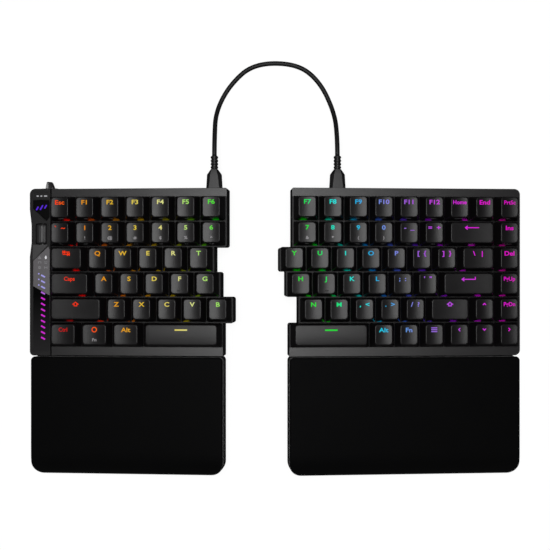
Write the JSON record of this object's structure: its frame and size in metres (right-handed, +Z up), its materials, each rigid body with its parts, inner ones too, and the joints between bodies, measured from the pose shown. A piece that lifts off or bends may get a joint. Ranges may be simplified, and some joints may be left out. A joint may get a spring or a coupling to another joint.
{
  "type": "ergonomic split keyboard",
  "caption": "Ergonomic keyboard split into two tented halves with stepped inner edges, roller wheel, mode lever, wrist rests and a looped link cable.",
  "frame": {"origin": "middle of the footprint of the two halves and their wrist rests, on the desk", "axes": "+X to the right, +Y away from the user, +Z up"},
  "size_m": [0.374, 0.3196, 0.0444],
  "materials": {
    "keycap_plastic": "satin",
    "dark_aluminium": "fine blasted, dark grey",
    "case_plastic": "matte",
    "circuit_board": "satin",
    "battery_foil": "satin",
    "switch_plastic": "satin",
    "steel": "brushed",
    "foot_rubber": "matte",
    "soft_pad": "smooth, soft",
    "glossy_plastic": "glossy",
    "white_light": "lit",
    "stripe_light": "lit",
    "wheel_rubber": "ribbed",
    "cable_jacket": "matte"
  },
  "bodies": {
    "left_half": {"left_top_plate": "dark_aluminium", "left_bottom_case": "case_plastic", "left_circuit_board": "circuit_board", "left_battery": "battery_foil", "left_switches": "switch_plastic", "left_side_panel": "case_plastic", "left_badge_plate": "glossy_plastic", "left_status_lights": "white_light", "left_stripe_lights": "stripe_light", "left_link_port": "steel", "left_host_port": "steel", "left_foot_pads": "foot_rubber", "link_cable": "cable_jacket", "left_cable_plug": "cable_jacket"},
    "right_half": {"right_top_plate": "dark_aluminium", "right_bottom_case": "case_plastic", "right_circuit_board": "circuit_board", "right_switches": "switch_plastic", "right_link_port": "steel", "right_foot_pads": "foot_rubber", "right_cable_plug": "cable_jacket"},
    "wheel": {"scroll_wheel": "wheel_rubber", "wheel_axle": "steel"},
    "mode_switch": {"mode_switch": "glossy_plastic"},
    "left_case_stand": {"left_case_stand": "case_plastic"},
    "right_case_stand": {"right_case_stand": "case_plastic"},
    "left_wrist_rest": {"left_rest_base": "case_plastic", "left_rest_pad": "soft_pad", "left_rest_foot_pads": "foot_rubber"},
    "right_wrist_rest": {"right_rest_base": "case_plastic", "right_rest_pad": "soft_pad", "right_rest_foot_pads": "foot_rubber"},
    "left_rest_stand": {"left_rest_stand": "case_plastic"},
    "right_rest_stand": {"right_rest_stand": "case_plastic"},
    "left_alt_key": {"left_alt_key": "keycap_plastic"},
    "left_caps_key": {"left_caps_key": "keycap_plastic"},
    "left_control_key": {"left_control_key": "keycap_plastic"},
    "left_function_keys": {"left_function_keys": "keycap_plastic"},
    "left_home_letter_keys": {"left_home_letter_keys": "keycap_plastic"},
    "left_lower_letter_keys": {"left_lower_letter_keys": "keycap_plastic"},
    "left_number_keys": {"left_number_keys": "keycap_plastic"},
    "left_shift_key": {"left_shift_key": "keycap_plastic"},
    "left_space_bar": {"left_space_bar": "keycap_plastic"},
    "left_super_key": {"left_super_key": "keycap_plastic"},
    "left_tab_key": {"left_tab_key": "keycap_plastic"},
    "left_upper_letter_keys": {"left_upper_letter_keys": "keycap_plastic"},
    "right_backslash_key": {"right_backslash_key": "keycap_plastic"},
    "right_backspace_key": {"right_backspace_key": "keycap_plastic"},
    "right_bottom_row_keys": {"right_bottom_row_keys": "keycap_plastic"},
    "right_enter_key": {"right_enter_key": "keycap_plastic"},
    "right_function_keys": {"right_function_keys": "keycap_plastic"},
    "right_home_letter_keys": {"right_home_letter_keys": "keycap_plastic"},
    "right_lower_letter_keys": {"right_lower_letter_keys": "keycap_plastic"},
    "right_number_keys": {"right_number_keys": "keycap_plastic"},
    "right_shift_key": {"right_shift_key": "keycap_plastic"},
    "right_space_bar": {"right_space_bar": "keycap_plastic"},
    "right_upper_letter_keys": {"right_upper_letter_keys": "keycap_plastic"}
  },
  "joints": [
    {"name": "halves_spread", "type": "slide", "parent": "left_half", "child": "right_half", "axis": [1, 0, 0], "range_m": [-0.0461, 0.03], "deforming": ["link_cable"]},
    {"name": "left_case_stand_fold", "type": "hinge", "parent": "left_half", "child": "left_case_stand", "pos_m": [-0.05382, 0.03265, 0.01232], "axis": [0, 1, 0], "range_deg": [0, 88]},
    {"name": "right_case_stand_fold", "type": "hinge", "parent": "right_half", "child": "right_case_stand", "pos_m": [0.02541, 0.03265, 0.01431], "axis": [0, -1, 0], "range_deg": [0, 88]},
    {"name": "left_rest_stand_fold", "type": "hinge", "parent": "left_wrist_rest", "child": "left_rest_stand", "pos_m": [-0.04667, -0.06535, 0.01282], "axis": [0, 1, 0], "range_deg": [0, 88]},
    {"name": "right_rest_stand_fold", "type": "hinge", "parent": "right_wrist_rest", "child": "right_rest_stand", "pos_m": [0.01788, -0.06535, 0.01484], "axis": [0, -1, 0], "range_deg": [0, 88]},
    {"name": "left_wrist_rest_pull", "type": "slide", "parent": "left_half", "child": "left_wrist_rest", "axis": [0, -1, 0], "range_m": [0, 0.03]},
    {"name": "right_wrist_rest_pull", "type": "slide", "parent": "right_half", "child": "right_wrist_rest", "axis": [0, -1, 0], "range_m": [0, 0.03]},
    {"name": "wheel_spin", "type": "hinge", "parent": "left_half", "child": "wheel", "pos_m": [-0.17766, 0.07155, 0.01829], "axis": [0, 1, 0], "continuous": true},
    {"name": "mode_switch_slide", "type": "slide", "parent": "left_half", "child": "mode_switch", "axis": [0.9976, 0, 0.0698], "range_m": [-0.0025, 0.0025]},
    {"name": "left_space_bar_press", "type": "slide", "parent": "left_half", "child": "left_space_bar", "axis": [0.0698, 0, -0.9976], "range_m": [0, 0.0035], "stiffness_N_per_m": 150, "springref_m": -0.003},
    {"name": "right_space_bar_press", "type": "slide", "parent": "right_half", "child": "right_space_bar", "axis": [-0.0698, 0, -0.9976], "range_m": [0, 0.0035], "stiffness_N_per_m": 150, "springref_m": -0.003},
    {"name": "right_enter_key_press", "type": "slide", "parent": "right_half", "child": "right_enter_key", "axis": [-0.0698, 0, -0.9976], "range_m": [0, 0.0035], "stiffness_N_per_m": 150, "springref_m": -0.003},
    {"name": "left_shift_key_press", "type": "slide", "parent": "left_half", "child": "left_shift_key", "axis": [0.0698, 0, -0.9976], "range_m": [0, 0.0035], "stiffness_N_per_m": 150, "springref_m": -0.003},
    {"name": "right_shift_key_press", "type": "slide", "parent": "right_half", "child": "right_shift_key", "axis": [-0.0698, 0, -0.9976], "range_m": [0, 0.0035], "stiffness_N_per_m": 150, "springref_m": -0.003},
    {"name": "right_backspace_key_press", "type": "slide", "parent": "right_half", "child": "right_backspace_key", "axis": [-0.0698, 0, -0.9976], "range_m": [0, 0.0035], "stiffness_N_per_m": 150, "springref_m": -0.003},
    {"name": "left_tab_key_press", "type": "slide", "parent": "left_half", "child": "left_tab_key", "axis": [0.0698, 0, -0.9976], "range_m": [0, 0.0035], "stiffness_N_per_m": 150, "springref_m": -0.003},
    {"name": "left_caps_key_press", "type": "slide", "parent": "left_half", "child": "left_caps_key", "axis": [0.0698, 0, -0.9976], "range_m": [0, 0.0035], "stiffness_N_per_m": 150, "springref_m": -0.003},
    {"name": "left_home_letter_keys_press", "type": "slide", "parent": "left_half", "child": "left_home_letter_keys", "axis": [0.0698, 0, -0.9976], "range_m": [0, 0.0035], "stiffness_N_per_m": 750, "springref_m": -0.003},
    {"name": "right_home_letter_keys_press", "type": "slide", "parent": "right_half", "child": "right_home_letter_keys", "axis": [-0.0698, 0, -0.9976], "range_m": [0, 0.0035], "stiffness_N_per_m": 1050, "springref_m": -0.003},
    {"name": "left_upper_letter_keys_press", "type": "slide", "parent": "left_half", "child": "left_upper_letter_keys", "axis": [0.0698, 0, -0.9976], "range_m": [0, 0.0035], "stiffness_N_per_m": 750, "springref_m": -0.003},
    {"name": "right_upper_letter_keys_press", "type": "slide", "parent": "right_half", "child": "right_upper_letter_keys", "axis": [-0.0698, 0, -0.9976], "range_m": [0, 0.0035], "stiffness_N_per_m": 1200, "springref_m": -0.003},
    {"name": "left_lower_letter_keys_press", "type": "slide", "parent": "left_half", "child": "left_lower_letter_keys", "axis": [0.0698, 0, -0.9976], "range_m": [0, 0.0035], "stiffness_N_per_m": 750, "springref_m": -0.003},
    {"name": "right_lower_letter_keys_press", "type": "slide", "parent": "right_half", "child": "right_lower_letter_keys", "axis": [-0.0698, 0, -0.9976], "range_m": [0, 0.0035], "stiffness_N_per_m": 1050, "springref_m": -0.003},
    {"name": "left_number_keys_press", "type": "slide", "parent": "left_half", "child": "left_number_keys", "axis": [0.0698, 0, -0.9976], "range_m": [0, 0.0035], "stiffness_N_per_m": 1050, "springref_m": -0.003},
    {"name": "right_number_keys_press", "type": "slide", "parent": "right_half", "child": "right_number_keys", "axis": [-0.0698, 0, -0.9976], "range_m": [0, 0.0035], "stiffness_N_per_m": 1050, "springref_m": -0.003},
    {"name": "left_function_keys_press", "type": "slide", "parent": "left_half", "child": "left_function_keys", "axis": [0.0698, 0, -0.9976], "range_m": [0, 0.0035], "stiffness_N_per_m": 1050, "springref_m": -0.003},
    {"name": "right_function_keys_press", "type": "slide", "parent": "right_half", "child": "right_function_keys", "axis": [-0.0698, 0, -0.9976], "range_m": [0, 0.0035], "stiffness_N_per_m": 1350, "springref_m": -0.003},
    {"name": "right_bottom_row_keys_press", "type": "slide", "parent": "right_half", "child": "right_bottom_row_keys", "axis": [-0.0698, 0, -0.9976], "range_m": [0, 0.0035], "stiffness_N_per_m": 900, "springref_m": -0.003},
    {"name": "left_control_key_press", "type": "slide", "parent": "left_half", "child": "left_control_key", "axis": [0.0698, 0, -0.9976], "range_m": [0, 0.0035], "stiffness_N_per_m": 150, "springref_m": -0.003},
    {"name": "left_super_key_press", "type": "slide", "parent": "left_half", "child": "left_super_key", "axis": [0.0698, 0, -0.9976], "range_m": [0, 0.0035], "stiffness_N_per_m": 150, "springref_m": -0.003},
    {"name": "left_alt_key_press", "type": "slide", "parent": "left_half", "child": "left_alt_key", "axis": [0.0698, 0, -0.9976], "range_m": [0, 0.0035], "stiffness_N_per_m": 150, "springref_m": -0.003},
    {"name": "right_backslash_key_press", "type": "slide", "parent": "right_half", "child": "right_backslash_key", "axis": [-0.0698, 0, -0.9976], "range_m": [0, 0.0035], "stiffness_N_per_m": 150, "springref_m": -0.003}
  ]
}
